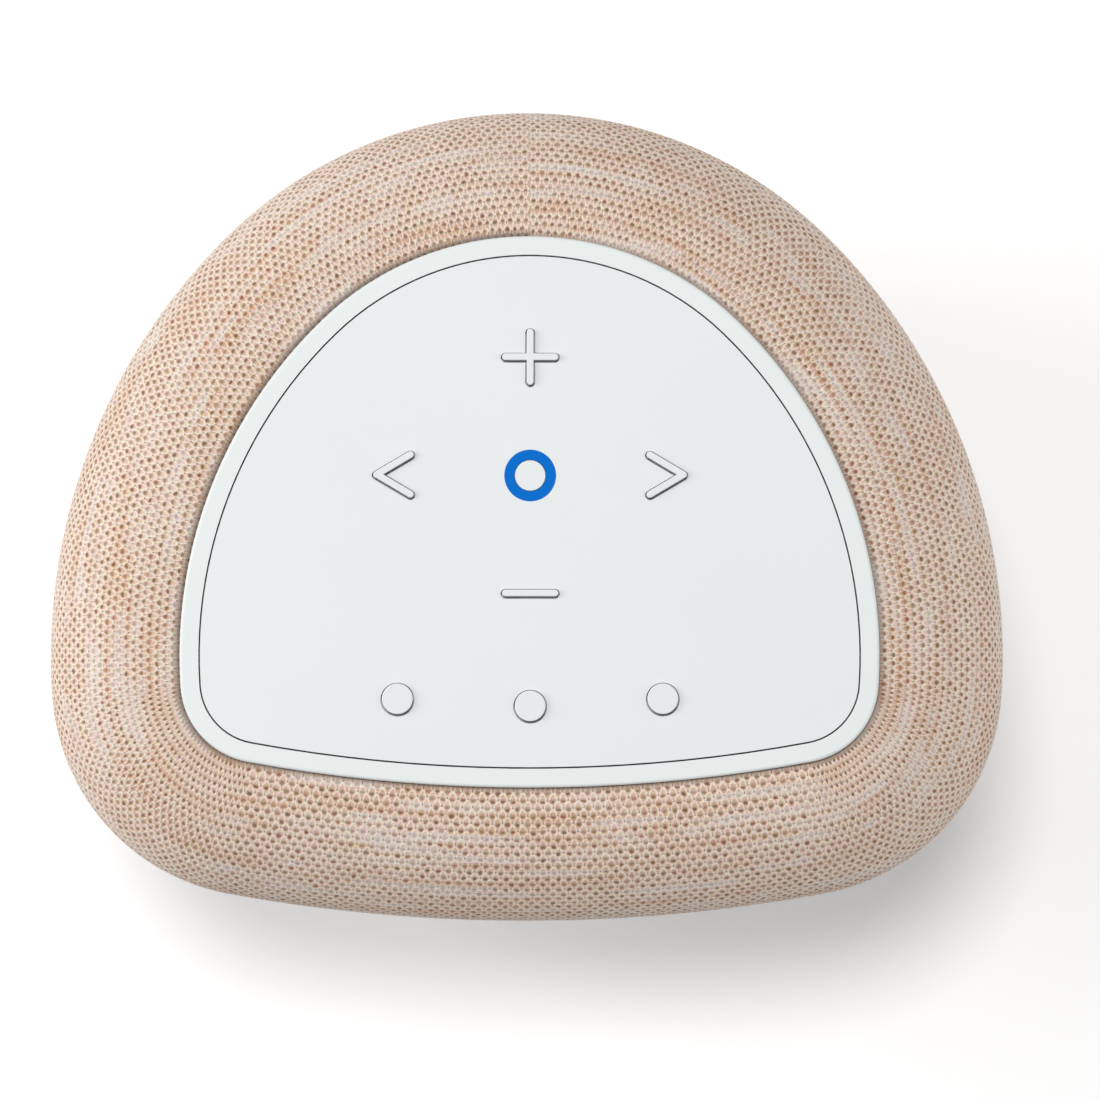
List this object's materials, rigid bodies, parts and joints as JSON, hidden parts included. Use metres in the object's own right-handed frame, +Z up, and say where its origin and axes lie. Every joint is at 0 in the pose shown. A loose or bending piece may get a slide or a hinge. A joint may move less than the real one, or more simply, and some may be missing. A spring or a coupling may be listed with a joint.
{
  "type": "smart speaker",
  "caption": "Tabletop smart speaker with a D-shaped plan, wrapped in melange knit, with raised keys and a flush blue ring on a pale top panel.",
  "frame": {"origin": "centre of the footprint's bounding box, at the height of the surface that the foot ring stands on", "axes": "+Z up, -Y towards the listener in front, +X to the listener's right"},
  "size_m": [0.2078, 0.1766, 0.1777],
  "materials": {
    "knit_fabric": "soft melange knit, sand and cream",
    "rim_plastic": "fine satin",
    "panel_plastic": "fine matte",
    "key_plastic": "fine matte",
    "ring_blue": "satin diffuser",
    "silicone": "matte silicone",
    "switch_black": "moulded",
    "board_green": "solder mask",
    "lamp_white": "clear lens",
    "can_steel": "tin plate",
    "inner_plastic": "moulded, fine grain",
    "base_plastic": "fine matte",
    "screw_steel": "zinc plated",
    "foam_rubber": "closed-cell foam",
    "basket_metal": "black powder coat",
    "plated_steel": "zinc plated",
    "ferrite": "sintered",
    "cone_black": "pressed paper",
    "surround_rubber": "butyl",
    "spider_cloth": "treated cotton",
    "heatsink_aluminium": "anodised",
    "wire_white": "insulation",
    "capacitor_sleeve": "shrink sleeve",
    "inlet_plastic": "moulded",
    "foot_rubber": "soft rubber"
  },
  "bodies": {
    "root": {"amplifier_heatsink": "heatsink_aluminium", "base_plate": "base_plastic", "base_screws": "screw_steel", "base_spacers": "inner_plastic", "control_board": "board_green", "control_panel": "panel_plastic", "control_tray": "inner_plastic", "driver_screws": "screw_steel", "fabric_sleeve": "knit_fabric", "foot_ring": "foot_rubber", "front_driver_frame": "basket_metal", "front_driver_motor": "plated_steel", "front_driver_surround": "surround_rubber", "grille_shell": "inner_plastic", "internal_wires": "wire_white", "key_mat": "silicone", "key_switches": "switch_black", "left_driver_frame": "basket_metal", "left_driver_motor": "plated_steel", "left_driver_surround": "surround_rubber", "light_ring": "ring_blue", "lower_housing": "base_plastic", "main_board": "board_green", "mains_inlet": "inlet_plastic", "microphones": "can_steel", "power_supply_board": "board_green", "ribbon_cable": "wire_white", "right_driver_frame": "basket_metal", "right_driver_motor": "plated_steel", "right_driver_surround": "surround_rubber", "ring_leds": "lamp_white", "shield_cans": "can_steel", "sound_deflector": "inner_plastic", "speaker_box": "inner_plastic", "supply_capacitors": "capacitor_sleeve", "top_bezel": "rim_plastic", "transformer": "switch_black", "tray_screws": "screw_steel", "wifi_antenna": "board_green", "woofer_basket": "basket_metal", "woofer_gasket": "foam_rubber", "woofer_magnet": "ferrite", "woofer_screws": "screw_steel", "woofer_spider": "spider_cloth", "woofer_surround": "surround_rubber", "woofer_top_plate": "plated_steel", "woofer_yoke": "plated_steel"},
    "plus_key": {"plus_key": "key_plastic"},
    "minus_key": {"minus_key": "key_plastic"},
    "previous_key": {"previous_key": "key_plastic"},
    "next_key": {"next_key": "key_plastic"},
    "preset_key_1": {"preset_key_1": "key_plastic"},
    "preset_key_2": {"preset_key_2": "key_plastic"},
    "preset_key_3": {"preset_key_3": "key_plastic"},
    "action_key": {"action_key": "panel_plastic"},
    "woofer_cone": {"woofer_cone": "cone_black"},
    "front_driver_cone": {"front_driver_cone": "cone_black"},
    "left_driver_cone": {"left_driver_cone": "cone_black"},
    "right_driver_cone": {"right_driver_cone": "cone_black"}
  },
  "joints": [
    {"name": "plus_press", "type": "slide", "parent": "root", "child": "plus_key", "axis": [0, 0, -1], "range_m": [0, 0.0006], "stiffness_N_per_m": 1500, "deforming": ["key_mat"]},
    {"name": "minus_press", "type": "slide", "parent": "root", "child": "minus_key", "axis": [0, 0, -1], "range_m": [0, 0.0006], "stiffness_N_per_m": 1500, "deforming": ["key_mat"]},
    {"name": "previous_press", "type": "slide", "parent": "root", "child": "previous_key", "axis": [0, 0, -1], "range_m": [0, 0.0006], "stiffness_N_per_m": 1500, "deforming": ["key_mat"]},
    {"name": "next_press", "type": "slide", "parent": "root", "child": "next_key", "axis": [0, 0, -1], "range_m": [0, 0.0006], "stiffness_N_per_m": 1500, "deforming": ["key_mat"]},
    {"name": "preset_1_press", "type": "slide", "parent": "root", "child": "preset_key_1", "axis": [0, 0, -1], "range_m": [0, 0.0006], "stiffness_N_per_m": 1500, "deforming": ["key_mat"]},
    {"name": "preset_2_press", "type": "slide", "parent": "root", "child": "preset_key_2", "axis": [0, 0, -1], "range_m": [0, 0.0006], "stiffness_N_per_m": 1500, "deforming": ["key_mat"]},
    {"name": "preset_3_press", "type": "slide", "parent": "root", "child": "preset_key_3", "axis": [0, 0, -1], "range_m": [0, 0.0006], "stiffness_N_per_m": 1500, "deforming": ["key_mat"]},
    {"name": "action_press", "type": "slide", "parent": "root", "child": "action_key", "axis": [0, 0, -1], "range_m": [0, 0.0006], "stiffness_N_per_m": 1500, "deforming": ["key_mat"]},
    {"name": "woofer_stroke", "type": "slide", "parent": "root", "child": "woofer_cone", "axis": [0, 0, -1], "range_m": [-0.004, 0.004], "stiffness_N_per_m": 1500, "deforming": ["woofer_surround", "woofer_spider"]},
    {"name": "front_stroke", "type": "slide", "parent": "root", "child": "front_driver_cone", "axis": [0, -1, 0], "range_m": [-0.0015, 0.0015], "stiffness_N_per_m": 1200, "deforming": ["front_driver_surround"]},
    {"name": "left_stroke", "type": "slide", "parent": "root", "child": "left_driver_cone", "axis": [-1, 0, 0], "range_m": [-0.0015, 0.0015], "stiffness_N_per_m": 1200, "deforming": ["left_driver_surround"]},
    {"name": "right_stroke", "type": "slide", "parent": "root", "child": "right_driver_cone", "axis": [1, 0, 0], "range_m": [-0.0015, 0.0015], "stiffness_N_per_m": 1200, "deforming": ["right_driver_surround"]}
  ]
}
